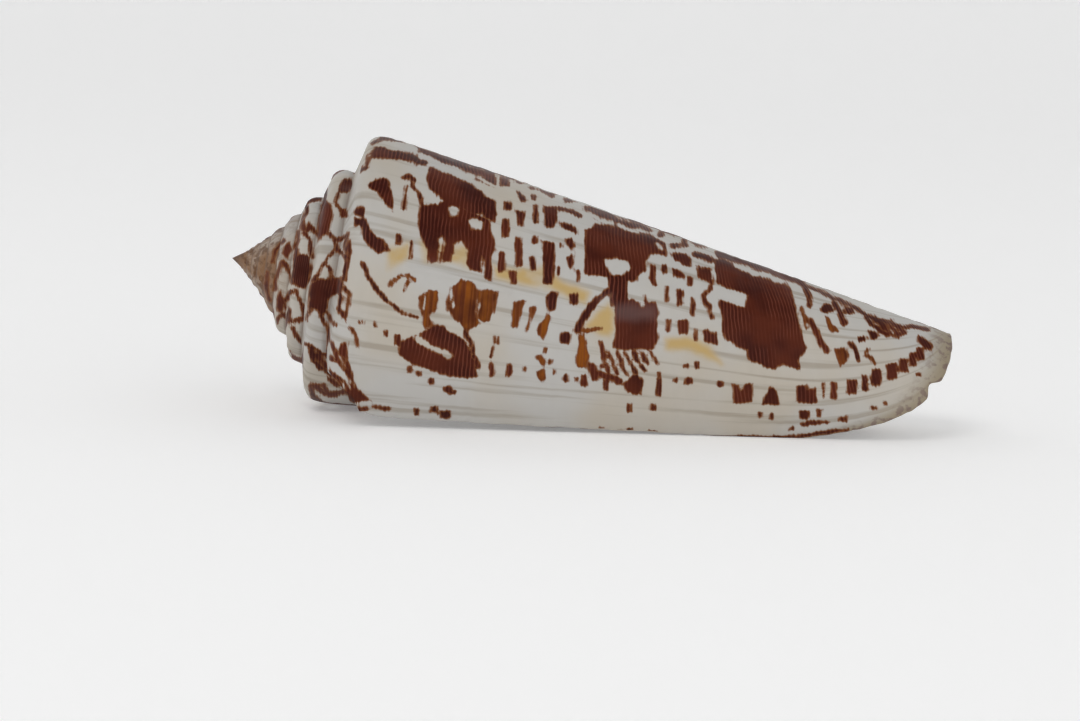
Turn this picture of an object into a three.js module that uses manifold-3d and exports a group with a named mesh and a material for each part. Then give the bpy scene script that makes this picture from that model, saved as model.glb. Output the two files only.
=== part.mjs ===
// Cone shell: the one-piece shell of a right-handed sea snail, lying on its aperture.
// Millimetres, +Z up. The apex points to -X and the base to +X, and -Y faces the outer lip.
import * as THREE from "three";
import { mergeVertices } from "three/addons/utils/BufferGeometryUtils.js";
import Module from "manifold-3d";

const { clamp, degToRad, lerp, smoothstep } = THREE.MathUtils;

// Driving dimensions. Growth is counted in turns round the coil axis: 0 at the outer lip,
// -1 one whorl before it, and FIRST_TURN at the apex.
const LENGTH = 65.2; // apex to base along the coil axis
const SHOULDER_RADIUS = 14.2; // coil axis to the shoulder's edge, at the lip
const SHOULDER_DEPTH = 11.4; // apex to the shoulder's edge along the axis, at the lip
const FIRST_TURN = -8.5;
const RADIUS_GROWTH = 1.385; // each whorl's radius against the one before
const DEPTH_POWER = 0.855; // under 1, so that the spire's outline is concave
const RAMP_RISE = 0.055; // suture to shoulder along the axis, as a share of the radius

// Side of a whorl, from its shoulder to the base
const BULGE = 0.085; // swelling just past the shoulder, as a share of the radius
const BULGE_REACH = 0.05; // how soon it swells, as a share of the radius
const TAPER = 0.6; // radius lost by the base
const TAPER_POWER = 1.08;
const COLUMELLA_THINNING = 0.5; // further loss on the pillar inside the aperture
const THINNING_TURN = -0.45; // the thinning starts here and grows over THINNING_TURNS
const THINNING_TURNS = 0.5;
const THINNING_FROM = 0.25; // share of the side's length where the thinning starts

// Outer lip, base and the hollow behind the lip
const WALL = 1.1; // thickness well inside the aperture
const LIP_WALL = 0.55; // thickness at the lip's edge
const LIP_THICKENING_TURNS = 0.15;
const HOLLOW_TURNS = 0.9; // how far the hollow winds in behind the lip
const HOLLOW_CLOSING_TURNS = 0.45; // it narrows towards the pillar over this last stretch
const HOLLOW_END_GAP = 0.25;
const LIP_ROUNDING = 12.5; // how far the lip's lower corner is cut back along the axis
const LIP_ROUNDING_TURNS = 0.06;
const BASE_SETBACK = 5.5; // the pillar ends this much short of the base
const BASE_SETBACK_TURN = -0.4;
const BASE_SETBACK_TURNS = 0.5;
const PILLAR_CROWN = 0.8; // height of the pillar's rounded end
const NOTCH_TURNS = 0.06; // depth of the notch in the lip at the shoulder
const NOTCH_FADE_TURNS = 0.3;
const NOTCH_ROWS = 7; // the lip runs back to its full reach over these rows

// Resting pose: the lip and the belly stand on one plane, worn flat where they touch it
const FRONT_TURN = -0.119; // this turn of the coil faces -Y
const REST_TILT = degToRad(8.3); // base end down
const WORN_DEPTH = 0.15;

// Facets. Rows run down a whorl's side from its suture, columns run round the coil.
const TURN_COLUMNS = 46;
const SHOULDER_ROW = 2;
const SUTURE_ROW = 4; // the next whorl's suture lies on this row
const HOLLOW_ROW = 5; // the top of the hollow lies on this row of the whorl under it
const LAST_ROW = 24;
const FULL_TURN = 2 * Math.PI;

const SHELL_MATERIAL = new THREE.MeshStandardMaterial({
  color: "#c9b39c",
  roughness: 0.35,
  metalness: 0,
});

const growth = (turn) => RADIUS_GROWTH ** turn;
const shoulderRadius = (turn) => SHOULDER_RADIUS * growth(turn);
const shoulderDepth = (turn) => SHOULDER_DEPTH * growth(turn) ** DEPTH_POWER;
const sutureDepth = (turn) => shoulderDepth(turn) - RAMP_RISE * shoulderRadius(turn);
const risingStep = (x) => smoothstep(x, 0, 1);

// Depth along the axis where the shell ends, round its base and up its lip.
function baseDepth(turn) {
  const lipCut = LIP_ROUNDING * Math.exp(Math.min(turn, 0) / LIP_ROUNDING_TURNS);
  const setback = risingStep((BASE_SETBACK_TURN - turn) / BASE_SETBACK_TURNS);
  return LENGTH - lipCut - BASE_SETBACK * setback;
}

// Outer radius of the whorl's side at a depth along the axis.
function sideRadius(depth, turn) {
  const radius = shoulderRadius(turn);
  const below = Math.max(depth - shoulderDepth(turn), 0);
  const swelling = 1 + BULGE * (1 - Math.exp(-below / (BULGE_REACH * radius)));
  const share = clamp(below / (LENGTH - shoulderDepth(turn)), 0, 1);
  const taper = 1 - TAPER * share ** TAPER_POWER;
  const inward = risingStep((THINNING_TURN - turn) / THINNING_TURNS);
  const towardsBase = risingStep((share - THINNING_FROM) / (1 - THINNING_FROM));
  return radius * swelling * taper * (1 - COLUMELLA_THINNING * inward * towardsBase);
}

const wallThickness = (turn) =>
  lerp(LIP_WALL, WALL, risingStep(-turn / LIP_THICKENING_TURNS));

// Depth and radius of a row of the outer surface.
function outerRow(row, turn) {
  const suture = sutureDepth(turn);
  const shoulder = shoulderDepth(turn);
  const nextSuture = sutureDepth(turn + 1);
  const sutureRadius = sideRadius(suture, turn - 1);
  if (row < SHOULDER_ROW) {
    const share = row / SHOULDER_ROW;
    return {
      depth: lerp(suture, shoulder, share),
      radius: lerp(sutureRadius, shoulderRadius(turn), share),
    };
  }
  let depth = lerp(shoulder, nextSuture, (row - SHOULDER_ROW) / (SUTURE_ROW - SHOULDER_ROW));
  if (row >= HOLLOW_ROW) {
    const hollowTop = nextSuture + wallThickness(turn + 1);
    const share = (row - HOLLOW_ROW) / (LAST_ROW - HOLLOW_ROW);
    depth = lerp(hollowTop, baseDepth(turn), share);
  }
  return { depth, radius: sideRadius(depth, turn) };
}

// Depth and radius of a row of the inner face of the wall behind the lip.
function innerRow(row, turn) {
  const outer = outerRow(row, turn);
  const wall = wallThickness(turn);
  const facing = risingStep((row + 1) / HOLLOW_ROW); // 0 faces the apex, 1 faces out
  const depth = row === LAST_ROW ? outer.depth : outer.depth + wall * (1 - facing);
  const open = outer.radius - wall * facing;
  const closed = Math.min(open, sideRadius(depth, turn - 1) + HOLLOW_END_GAP);
  const closing = risingStep((HOLLOW_CLOSING_TURNS - HOLLOW_TURNS - turn) / HOLLOW_CLOSING_TURNS);
  return { depth, radius: lerp(open, closed, closing) };
}

// The notch draws the upper rows of the lip back round the coil, with the rows of the whorl
// under it that they lie on.
function notchShift(row, turn) {
  const lip = risingStep(1 + turn / NOTCH_FADE_TURNS);
  const lipRows = 1 - risingStep((row - SHOULDER_ROW) / NOTCH_ROWS);
  const under = risingStep(1 - Math.abs(turn + 1) / NOTCH_FADE_TURNS);
  const underRows = risingStep(1 - Math.abs(row - SUTURE_ROW) / NOTCH_ROWS);
  return -NOTCH_TURNS * (lip * lipRows + under * underRows);
}

// A point of the coil, whose axis is +X.
function coilPoint(rowPlace, row, plainTurn) {
  const turn = plainTurn + notchShift(row, plainTurn);
  const { depth, radius } = rowPlace(row, turn);
  const angle = FULL_TURN * (turn - FRONT_TURN);
  return [depth, -radius * Math.cos(angle), -radius * Math.sin(angle)];
}

// Collects vertices by name, and the faces that share them.
class Surface {
  positions = [];
  faces = [];
  names = new Map();

  vertex(name, place) {
    if (!this.names.has(name)) {
      this.names.set(name, this.positions.length / 3);
      this.positions.push(...place());
    }
    return this.names.get(name);
  }

  triangle(a, b, c) {
    if (a !== b && b !== c && c !== a) this.faces.push(a, b, c);
  }

  // Faces between two lines of vertices, of equal count.
  join(line, nextLine) {
    for (let i = 0; i + 1 < line.length; i++) {
      this.triangle(line[i], nextLine[i], nextLine[i + 1]);
      this.triangle(line[i], nextLine[i + 1], line[i + 1]);
    }
  }

  // Faces from one vertex to each step of a line.
  fan(centre, line) {
    for (let i = 0; i + 1 < line.length; i++) this.triangle(centre, line[i], line[i + 1]);
  }

  geometry() {
    const made = new THREE.BufferGeometry();
    made.setAttribute("position", new THREE.Float32BufferAttribute(this.positions, 3));
    made.setIndex(this.faces);
    return made;
  }
}

const range = (first, last) => Array.from({ length: last - first + 1 }, (_, i) => first + i);

// The whole shell as one closed surface. A spiral strip, whose lower edge is the next turn's
// suture, widens to the last whorl. That folds over the lip into the hollow behind it, which
// ends deep inside against the pillar.
function shellSurface() {
  const lip = Math.round(-FIRST_TURN * TURN_COLUMNS);
  const bare = lip - TURN_COLUMNS; // from this column on no later whorl covers the side
  const hollowColumns = Math.round(HOLLOW_TURNS * TURN_COLUMNS);
  const hollowEnd = lip - hollowColumns;
  const pillarStart = bare - hollowColumns;
  const turnOf = (column) => (column - lip) / TURN_COLUMNS;
  const surface = new Surface();
  const apex = surface.vertex("apex", () => [0, 0, 0]);
  const pillarEnd = surface.vertex("pillar end", () => [
    baseDepth(turnOf(pillarStart)) + PILLAR_CROWN,
    0,
    0,
  ]);

  function outer(column, row) {
    if (row === 0) return column < TURN_COLUMNS ? apex : outer(column - TURN_COLUMNS, SUTURE_ROW);
    return surface.vertex(`outer ${column} ${row}`, () => {
      const underSuture = row === SUTURE_ROW && column <= bare;
      if (underSuture) return coilPoint(outerRow, 0, turnOf(column + TURN_COLUMNS));
      return coilPoint(outerRow, row, turnOf(column));
    });
  }

  function inner(column, row) {
    if (row === 0) return outer(column - TURN_COLUMNS, HOLLOW_ROW);
    return surface.vertex(`inner ${column} ${row}`, () =>
      coilPoint(innerRow, row, turnOf(column)),
    );
  }

  const outerLine = (column, from, to) => range(from, to).map((row) => outer(column, row));
  const innerLine = (column) => range(0, LAST_ROW).map((row) => inner(column, row));
  const baseLine = (column) => [outer(column, LAST_ROW), inner(column, LAST_ROW)];

  for (const column of range(0, bare - 1))
    surface.join(outerLine(column, 0, SUTURE_ROW), outerLine(column + 1, 0, SUTURE_ROW));
  for (const column of range(bare, lip - 1))
    surface.join(outerLine(column, 0, LAST_ROW), outerLine(column + 1, 0, LAST_ROW));
  for (const column of range(pillarStart, bare - 1))
    surface.join(
      outerLine(column, HOLLOW_ROW, LAST_ROW),
      outerLine(column + 1, HOLLOW_ROW, LAST_ROW),
    );
  surface.fan(apex, outerLine(0, 1, SUTURE_ROW));

  surface.join(outerLine(lip, 0, LAST_ROW), innerLine(lip));
  for (const column of range(hollowEnd, lip - 1)) {
    surface.join(innerLine(column + 1), innerLine(column));
    surface.join(baseLine(column), baseLine(column + 1));
  }
  const pillarLine = range(0, LAST_ROW).map((row) => outer(pillarStart, Math.max(row, HOLLOW_ROW)));
  surface.join(innerLine(hollowEnd), pillarLine);

  const pillarRim = range(pillarStart, hollowEnd).map((column) => outer(column, LAST_ROW));
  surface.fan(pillarEnd, [...pillarRim, inner(hollowEnd, LAST_ROW), pillarRim[0]]);
  return surface.geometry();
}

const wasm = await Module();
wasm.setup();

function solid(geometry) {
  geometry.deleteAttribute("normal");
  geometry.deleteAttribute("uv");
  const merged = mergeVertices(geometry);
  return new wasm.Manifold(
    new wasm.Mesh({
      numProp: 3,
      vertProperties: merged.attributes.position.array,
      triVerts: Uint32Array.from(merged.index.array),
    }),
  );
}

function solidGeometry(body) {
  const { vertProperties, triVerts } = body.getMesh();
  const geometry = new THREE.BufferGeometry();
  geometry.setAttribute("position", new THREE.BufferAttribute(vertProperties, 3));
  geometry.setIndex(new THREE.BufferAttribute(triVerts, 1));
  return geometry;
}

// Lays the shell on its lip and belly, wears it flat there and stands it on the origin.
function layDown(geometry) {
  geometry.rotateY(REST_TILT);
  geometry.computeBoundingBox();
  const { min, max } = geometry.boundingBox;
  const ground = min.z + WORN_DEPTH;
  const worn = new THREE.BoxGeometry(2 * LENGTH, 2 * LENGTH, LENGTH);
  worn.translate((min.x + max.x) / 2, (min.y + max.y) / 2, ground - LENGTH / 2);
  const laid = solidGeometry(solid(geometry).subtract(solid(worn)));
  return laid.translate(-(min.x + max.x) / 2, -(min.y + max.y) / 2, -ground);
}

const shell = new THREE.Mesh(layDown(shellSurface()), SHELL_MATERIAL);
shell.name = "shell";

const coneShell = new THREE.Group();
coneShell.add(shell);
export default coneShell;
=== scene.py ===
"""Cone shell: the looks of a right-handed cone shell lying on its aperture.

The shell is one mesh on a spiral grid. Its markings are outlines and bars as the camera sees them,
laid on the side that faces it, and spiral rows of bars and blotches on the side that it can't see.
Lengths are millimetres until the mesh is made, and growth is counted in turns: 0 at the outer lip.
"""

import math

import bpy
import numpy as np
from mathutils import Matrix, Vector


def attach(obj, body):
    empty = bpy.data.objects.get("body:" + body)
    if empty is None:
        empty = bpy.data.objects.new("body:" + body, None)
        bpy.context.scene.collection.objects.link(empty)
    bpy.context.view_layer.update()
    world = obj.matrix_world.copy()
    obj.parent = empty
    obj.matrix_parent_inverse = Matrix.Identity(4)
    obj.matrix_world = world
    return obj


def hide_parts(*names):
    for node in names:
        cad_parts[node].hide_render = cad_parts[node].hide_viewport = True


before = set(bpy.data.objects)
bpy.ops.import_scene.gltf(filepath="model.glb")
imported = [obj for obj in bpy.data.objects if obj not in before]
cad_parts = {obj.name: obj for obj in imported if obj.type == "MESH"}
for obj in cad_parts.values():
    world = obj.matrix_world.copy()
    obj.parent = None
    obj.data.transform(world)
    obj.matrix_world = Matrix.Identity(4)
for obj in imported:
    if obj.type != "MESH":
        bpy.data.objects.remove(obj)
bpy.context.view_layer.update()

MM = 0.001
FULL_TURN = 2 * math.pi

# Form of the coil
LENGTH = 65.2
SHOULDER_RADIUS = 14.2
SHOULDER_DEPTH = 11.4
FIRST_TURN = -9
RADIUS_GROWTH = 1.385
DEPTH_POWER = 0.855
RAMP_RISE = 0.055
BULGE = 0.085
BULGE_REACH = 0.05
TAPER = 0.6
TAPER_POWER = 1.08
COLUMELLA_THINNING = 0.5
THINNING_TURN = -0.45
THINNING_TURNS = 0.5
THINNING_FROM = 0.25
WALL = 1.1
LIP_WALL = 0.55
LIP_THICKENING_TURNS = 0.15
HOLLOW_TURNS = 0.9
HOLLOW_CLOSING_TURNS = 0.45
HOLLOW_END_GAP = 0.25
LIP_ROUNDING = 12.5
LIP_ROUNDING_TURNS = 0.06
BASE_SETBACK = 5.5
BASE_SETBACK_TURN = -0.4
BASE_SETBACK_TURNS = 0.5
PILLAR_CROWN = 0.8
NOTCH_TURNS = 0.04
NOTCH_FADE_TURNS = 0.3
NOTCH_ROWS = 4
FRONT_TURN = -0.119
REST_TILT = math.radians(8.3)
WORN_DEPTH = 0.15
SPIRE_WEAR = 0.8  # how far the steps of the early whorls are worn to a plain cone
SPIRE_WEAR_TURN = -1.2
SPIRE_WEAR_TURNS = 4.0

# Rows of the solid that the finer rows here fall between
SHOULDER_ROW = 2
SUTURE_ROW = 4
HOLLOW_ROW = 5
LAST_ROW = 24

# Grid
TURN_COLUMNS = 216
RAMP_STEPS = 6
SHOULDER_STEPS = 8
EDGE_STEPS = 3  # round the thickness of the lip
BODY_STEPS = 180
COARSE = 9  # steps of the body for each step inside the aperture
FINE = 2  # columns for each column on the side of the last whorl that shows
FINE_TURNS = 0.4  # how far back from the lip that side reaches
EDGE_BULGE = 0.14

# Rows and columns that follow from these steps
SPIRE_ROWS = np.concatenate([
    np.linspace(0, SHOULDER_ROW, RAMP_STEPS + 1)[:-1],
    np.linspace(SHOULDER_ROW, SUTURE_ROW, SHOULDER_STEPS + 1),
])
EDGE_ROWS = np.linspace(SUTURE_ROW, HOLLOW_ROW, EDGE_STEPS + 1)[1:-1]
BODY_ROWS = np.linspace(HOLLOW_ROW, LAST_ROW, BODY_STEPS + 1)
ALL_ROWS = np.concatenate([SPIRE_ROWS, EDGE_ROWS, BODY_ROWS])
PILLAR_ROWS = BODY_ROWS[::COARSE]
INNER_ROWS = np.concatenate([SPIRE_ROWS[::2], PILLAR_ROWS])
SUTURE = len(SPIRE_ROWS) - 1  # place of the suture among all rows
HOLLOW = SUTURE + EDGE_STEPS
HOLLOW_COLUMNS = round(HOLLOW_TURNS * TURN_COLUMNS)
FINE_COLUMNS = round(FINE_TURNS * TURN_COLUMNS)
SPIRE_TURN = np.arange(FIRST_TURN * TURN_COLUMNS, 1 - TURN_COLUMNS) / TURN_COLUMNS
COARSE_TURN = np.arange(-TURN_COLUMNS, 1) / TURN_COLUMNS
BODY_TURN = np.concatenate([
    COARSE_TURN[:-FINE_COLUMNS - 1],
    np.arange(-FINE * FINE_COLUMNS, 1) / (FINE * TURN_COLUMNS),
])
PILLAR_TURN = np.arange(-TURN_COLUMNS - HOLLOW_COLUMNS, -TURN_COLUMNS) / TURN_COLUMNS
HOLLOW_TURN = np.arange(-HOLLOW_COLUMNS, 1) / TURN_COLUMNS
BEFORE_HOLLOW = TURN_COLUMNS - HOLLOW_COLUMNS  # columns of the last whorl with no hollow behind

# The camera, in the coil's own frame
VIEW_TURN = -0.141  # this turn of the coil faces the camera
VIEW_ROLL = math.radians(10.8)
VIEW_DISTANCE = 272.0
VIEW_DEPTH = 32.0  # the camera looks square on this point of the axis
VIEW_RIGHT = -3.5  # and is then moved sideways and up
VIEW_UP = -3.3
LENS = 100.0
SENSOR = 36.0
FRAME_WIDTH = 1080
FRAME_HEIGHT = 721

# Markings as the camera sees them, in points of a frame of 1080 by 721.
# Blotches are outlines, bars are boxes from one corner to the other, and strokes are a width and
# the points that the line follows.
SPIRE_BLOTCHES = {
    "top cap": [(339, 184), (344, 180), (352, 180), (353, 187), (346, 192), (338, 193)],
    "smudge": [(341, 210), (348, 209), (347, 217), (340, 218)],
    "upper flame": [(325, 199), (331, 204), (334, 214), (330, 233), (323, 236), (317, 242), (316, 235),
        (319, 220), (320, 206)],
    "middle flame": [(311, 283), (319, 279), (329, 279), (340, 277), (343, 283), (341, 293), (334, 295),
        (329, 300), (327, 312), (321, 316), (317, 310), (309, 308), (310, 295)],
    "low patch": [(340, 343), (348, 340), (347, 356), (342, 360), (338, 350)],
    "third flame": [(294, 258), (300, 253), (309, 256), (311, 266), (309, 281), (304, 289), (298, 288),
        (292, 283), (293, 270)],
    "third cap": [(307, 202), (315, 195), (322, 196), (321, 200), (311, 203)],
    "third spot": [(303, 229), (310, 221), (313, 229), (306, 233)],
    "fourth spot": [(281, 254), (290, 241), (293, 249), (288, 260)],
    "fourth flame": [(277, 293), (281, 289), (284, 302), (281, 314), (276, 308)],
    "corner patch": [(344, 393), (356, 387), (365, 395), (371, 401), (354, 403)],
}
SPIRE_STROKES = [
    (3, [(330, 235), (335, 241), (336, 249), (325, 260), (321, 266), (319, 275), (313, 281)]),
    (3, [(336, 249), (342, 254), (346, 260)]),
    (3, [(335, 241), (344, 237), (348, 233), (344, 245), (347, 258)]),
    (3, [(327, 312), (331, 320), (335, 325)]),
    (3, [(321, 316), (327, 327), (330, 341), (335, 352), (340, 364)]),
    (3, [(341, 297), (338, 308), (342, 314)]), (3, [(346, 356), (344, 368), (350, 374)]),
    (4, [(290, 322), (298, 319), (306, 320)]),
    (4, [(293, 327), (298, 337), (303, 343), (311, 347), (321, 354), (334, 359)]),
    (5, [(311, 349), (313, 360), (321, 368), (331, 374), (342, 381)]),
    (5, [(288, 352), (294, 358), (301, 360)]),
    (5, [(323, 385), (328, 393), (336, 395), (346, 389), (354, 385)]),
    (5, [(311, 385), (313, 397), (325, 405), (346, 408), (367, 409)]),
    (5, [(313, 385), (321, 389), (325, 393)]), (4, [(374, 407), (390, 409)]),
    (3, [(329, 379), (338, 385), (346, 381)]), (3, [(284, 302), (288, 310), (290, 321)]),
    (3, [(358, 172), (366, 167), (368, 157)]), (3, [(348, 240), (350, 252), (346, 266), (345, 280)]),
    (3, [(343, 288), (349, 292), (349, 304), (344, 318)]), (4, [(313, 309), (306, 316), (299, 322)]),
    (4, [(289, 318), (282, 314), (277, 322)]), (3, [(344, 360), (350, 372), (354, 384)]),
    (4, [(272, 262), (276, 250), (284, 240)]), (4, [(274, 290), (277, 276), (283, 262)]),
    (3, [(285, 300), (292, 292)]), (3, [(296, 290), (300, 300), (303, 312), (305, 318)]),
    (4, [(283, 262), (289, 270), (292, 283)]), (4, [(299, 232), (296, 246), (296, 256)]),
    (3, [(305, 233), (310, 242), (311, 256)]), (4, [(313, 229), (318, 236)]),
    (6, [(313, 354), (320, 358), (325, 366)]), (4, [(325, 262), (331, 270), (330, 280)]),
    (4, [(338, 193), (336, 204), (341, 210)]), (3, [(308, 206), (303, 218), (303, 229)]),
    (4, [(268, 272), (265, 288), (270, 300)]),
]
SHOULDER_BLOTCHES = {
    "band": [(371, 154), (375, 146), (388, 149), (404, 152), (425, 156), (428, 164), (421, 166), (404, 161),
        (388, 159), (373, 158)],
    "crest": [(409, 142), (429, 148), (450, 151), (471, 161), (488, 167), (495, 172), (497, 179),
        (495, 188), (483, 183), (471, 178), (446, 164), (421, 153)],
    "blotch": [(429, 167), (450, 174), (471, 184), (482, 193), (496, 201), (497, 215), (495, 222),
        (489, 220), (482, 214), (471, 214), (461, 208), (450, 204), (442, 199), (429, 189), (426, 176)],
    "bridge": [(428, 219), (439, 203), (447, 198), (469, 210), (488, 218), (495, 245), (490, 258),
        (469, 254), (447, 253), (430, 252)],
    "left tongue": [(419, 206), (429, 204), (446, 206), (447, 226), (440, 233), (438, 262), (429, 264),
        (427, 249), (421, 241), (417, 224)],
    "middle tongue": [(448, 220), (467, 219), (471, 233), (467, 245), (453, 244), (451, 262), (442, 262),
        (442, 241), (449, 236)],
    "dark tongue": [(469, 234), (481, 234), (482, 251), (481, 273), (471, 270), (466, 262), (468, 247)],
    "right tongue": [(481, 221), (487, 221), (488, 234), (494, 238), (495, 249), (492, 256), (492, 281),
        (484, 281), (485, 263), (482, 246)],
    "flame": [(368, 185), (375, 178), (388, 178), (391, 189), (394, 204), (393, 212), (386, 204),
        (377, 193), (369, 189)],
    "low flame": [(354, 210), (363, 205), (365, 216), (373, 233), (384, 241), (386, 251), (379, 254),
        (371, 249), (363, 239), (361, 226), (354, 226)],
    "oval": [(400, 341), (417, 335), (427, 328), (438, 324), (448, 330), (461, 337), (467, 345), (475, 362),
        (478, 377), (467, 379), (450, 377), (430, 370), (409, 362), (398, 354)],
}
SHOULDER_BARS = [
    (396, 234, 401, 245), (385, 245, 390, 252), (409, 240, 413, 260), (357, 320, 365, 325),
    (373, 321, 377, 328), (383, 330, 388, 337), (395, 334, 401, 346), (407, 366, 413, 373),
    (416, 371, 422, 377), (428, 379, 434, 385), (443, 386, 452, 392), (449, 390, 456, 395),
    (414, 408, 419, 416), (430, 406, 438, 413), (440, 410, 452, 418),
]
SHOULDER_STROKES = [
    (3, [(372, 143), (380, 139), (398, 138), (409, 142), (421, 146)]),
    (4, [(403, 178), (409, 176), (414, 180), (412, 185)]), (4, [(406, 187), (404, 208)]),
    (4, [(413, 185), (421, 199), (423, 224)]), (5, [(363, 264), (370, 279), (376, 290)]),
    (2, [(376, 290), (384, 298), (400, 312), (417, 318)]), (3, [(350, 327), (356, 337), (358, 347)]),
    (5, [(465, 331), (471, 343), (474, 356), (478, 366)]),
]
MIDDLE_BLOTCHES = {
    "blotch": [(585, 230), (591, 228), (595, 223), (609, 225), (617, 226), (640, 233), (652, 236),
        (666, 244), (666, 256), (661, 254), (655, 255), (650, 255), (646, 260), (646, 272), (642, 273),
        (638, 276), (637, 281), (627, 282), (628, 309), (611, 306), (610, 290), (607, 277), (591, 275),
        (585, 273)],
    "crest": [(583, 207), (591, 206), (603, 209), (613, 213), (619, 219), (640, 223), (653, 231),
        (648, 233), (638, 228), (619, 228), (609, 226), (601, 222), (587, 214)],
    "block": [(614, 310), (617, 303), (630, 299), (639, 303), (643, 308), (650, 301), (656, 302),
        (659, 314), (657, 320), (658, 338), (655, 350), (630, 350), (612, 348), (615, 328)],
    "tall bar": [(543, 205), (557, 207), (558, 217), (554, 227), (544, 227)],
    "long bar": [(542, 241), (556, 242), (555, 251), (553, 284), (543, 284)],
    "step": [(516, 210), (526, 212), (524, 225), (518, 225), (517, 217)],
    "slant": [(516, 191), (522, 192), (527, 202), (521, 202)],
    "hook": [(560, 223), (569, 223), (577, 227), (577, 234), (569, 231), (562, 227)],
    "leaf": [(566, 238), (573, 239), (575, 246), (571, 251), (566, 245)],
    "drop": [(566, 257), (574, 252), (574, 263), (571, 271), (567, 268)],
    "olive bar": [(546, 297), (551, 292), (559, 292), (557, 300), (555, 310), (550, 312), (546, 306)],
    "step below": [(587, 362), (594, 363), (601, 374), (599, 382), (592, 381), (589, 372)],
    "tail": [(624, 384), (630, 375), (637, 375), (644, 380), (642, 395), (636, 396), (625, 391)],
    "hollow spot": [(671, 254), (684, 253), (691, 259), (691, 267), (684, 265), (675, 261)],
    "wedge": [(650, 264), (656, 265), (656, 282), (657, 286), (653, 286), (649, 279)],
    "lozenge": [(672, 268), (680, 270), (684, 277), (681, 279), (674, 276)],
    "square": [(697, 265), (710, 269), (711, 274), (710, 282), (706, 281), (697, 278)],
    "last square": [(704, 330), (717, 333), (717, 346), (712, 345), (704, 341)],
}
MIDDLE_BARS = [
    (501, 176, 509, 187), (515, 180, 523, 184), (529, 186, 536, 189), (564, 198, 574, 203),
    (530, 194, 536, 200), (504, 201, 512, 210), (502, 218, 509, 238), (533, 205, 538, 223),
    (515, 237, 523, 267), (532, 235, 538, 244), (530, 256, 536, 271), (498, 252, 506, 272),
    (510, 271, 517, 285), (560, 243, 563, 248), (577, 271, 581, 282), (557, 267, 561, 275),
    (569, 293, 578, 304), (559, 332, 570, 344), (604, 379, 609, 390), (627, 403, 632, 412),
    (543, 347, 547, 354), (494, 336, 499, 345), (489, 362, 495, 377), (506, 364, 513, 377),
    (523, 367, 527, 372), (553, 369, 556, 374), (563, 374, 568, 382), (575, 378, 578, 382),
    (581, 375, 587, 387), (548, 359, 552, 364), (599, 427, 604, 437), (618, 429, 623, 437),
    (627, 428, 633, 437), (648, 431, 658, 438), (662, 265, 667, 274), (658, 231, 664, 237),
    (670, 243, 681, 249), (687, 277, 693, 287), (665, 286, 669, 303), (677, 289, 683, 305),
    (691, 297, 695, 316), (643, 294, 647, 303), (666, 320, 671, 332), (678, 320, 688, 334),
    (694, 328, 698, 341), (684, 364, 689, 368), (694, 361, 700, 369), (672, 378, 677, 382),
    (685, 378, 693, 384), (717, 381, 724, 387), (656, 376, 662, 396), (650, 404, 656, 411),
    (657, 372, 661, 377), (682, 239, 687, 247),
]
MIDDLE_STROKES = [
    (5, [(542, 188), (553, 195)]), (4, [(578, 200), (603, 209), (640, 223)]),
    (4, [(558, 209), (571, 211), (579, 216)]),
    (7, [(577, 330), (582, 321), (589, 310), (599, 298), (607, 291)]),
    (5, [(599, 342), (604, 356), (601, 366)]), (6, [(599, 374), (610, 377), (620, 382)]),
    (3, [(494, 348), (490, 356)]), (4, [(668, 231), (676, 235)]), (4, [(692, 241), (705, 247)]),
    (6, [(695, 254), (711, 260)]),
    (5, [(711, 282), (710, 289), (703, 295), (704, 301), (710, 306), (711, 318)]),
    (4, [(609, 353), (613, 362)]), (4, [(617, 352), (621, 362)]), (4, [(625, 353), (630, 362)]),
    (4, [(634, 353), (639, 362)]), (4, [(642, 353), (647, 362)]), (4, [(651, 353), (657, 364)]),
    (4, [(604, 362), (609, 372)]), (4, [(613, 364), (618, 373)]), (4, [(622, 365), (627, 374)]),
    (4, [(630, 364), (636, 373)]), (4, [(640, 365), (645, 371)]),
]
RIGHT_BLOTCHES = {
    "blotch": [(714, 259), (722, 258), (736, 264), (742, 271), (758, 273), (766, 279), (786, 282),
        (791, 291), (796, 308), (801, 331), (807, 348), (799, 361), (800, 371), (791, 367), (782, 364),
        (775, 370), (763, 368), (761, 365), (752, 362), (747, 358), (747, 350), (725, 340), (722, 331),
        (721, 314), (718, 300), (715, 272)],
    "bow": [(820, 308), (824, 303), (832, 305), (835, 311), (828, 314), (822, 312)],
    "hatching": [(867, 330), (877, 331), (880, 335), (875, 341), (870, 340)],
    "twin square": [(796, 386), (806, 384), (809, 391), (817, 386), (817, 402), (810, 403), (796, 403)],
    "notched square": [(733, 384), (738, 384), (741, 391), (745, 385), (752, 384), (752, 402), (734, 403)],
    "triangle": [(771, 385), (776, 392), (780, 405), (761, 404), (766, 394)],
}
RIGHT_BARS = [
    (822, 383, 824, 397), (830, 382, 837, 399), (847, 379, 857, 394), (861, 375, 868, 391),
    (871, 369, 881, 386), (886, 363, 897, 379), (898, 358, 908, 373), (909, 352, 917, 366),
    (916, 347, 924, 360), (799, 411, 810, 419), (816, 409, 822, 417), (839, 416, 847, 421),
    (871, 406, 878, 410), (883, 402, 887, 405), (916, 372, 921, 376), (758, 412, 763, 418),
    (769, 413, 775, 420), (789, 426, 795, 431), (857, 336, 866, 342), (844, 307, 854, 314),
]
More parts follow.
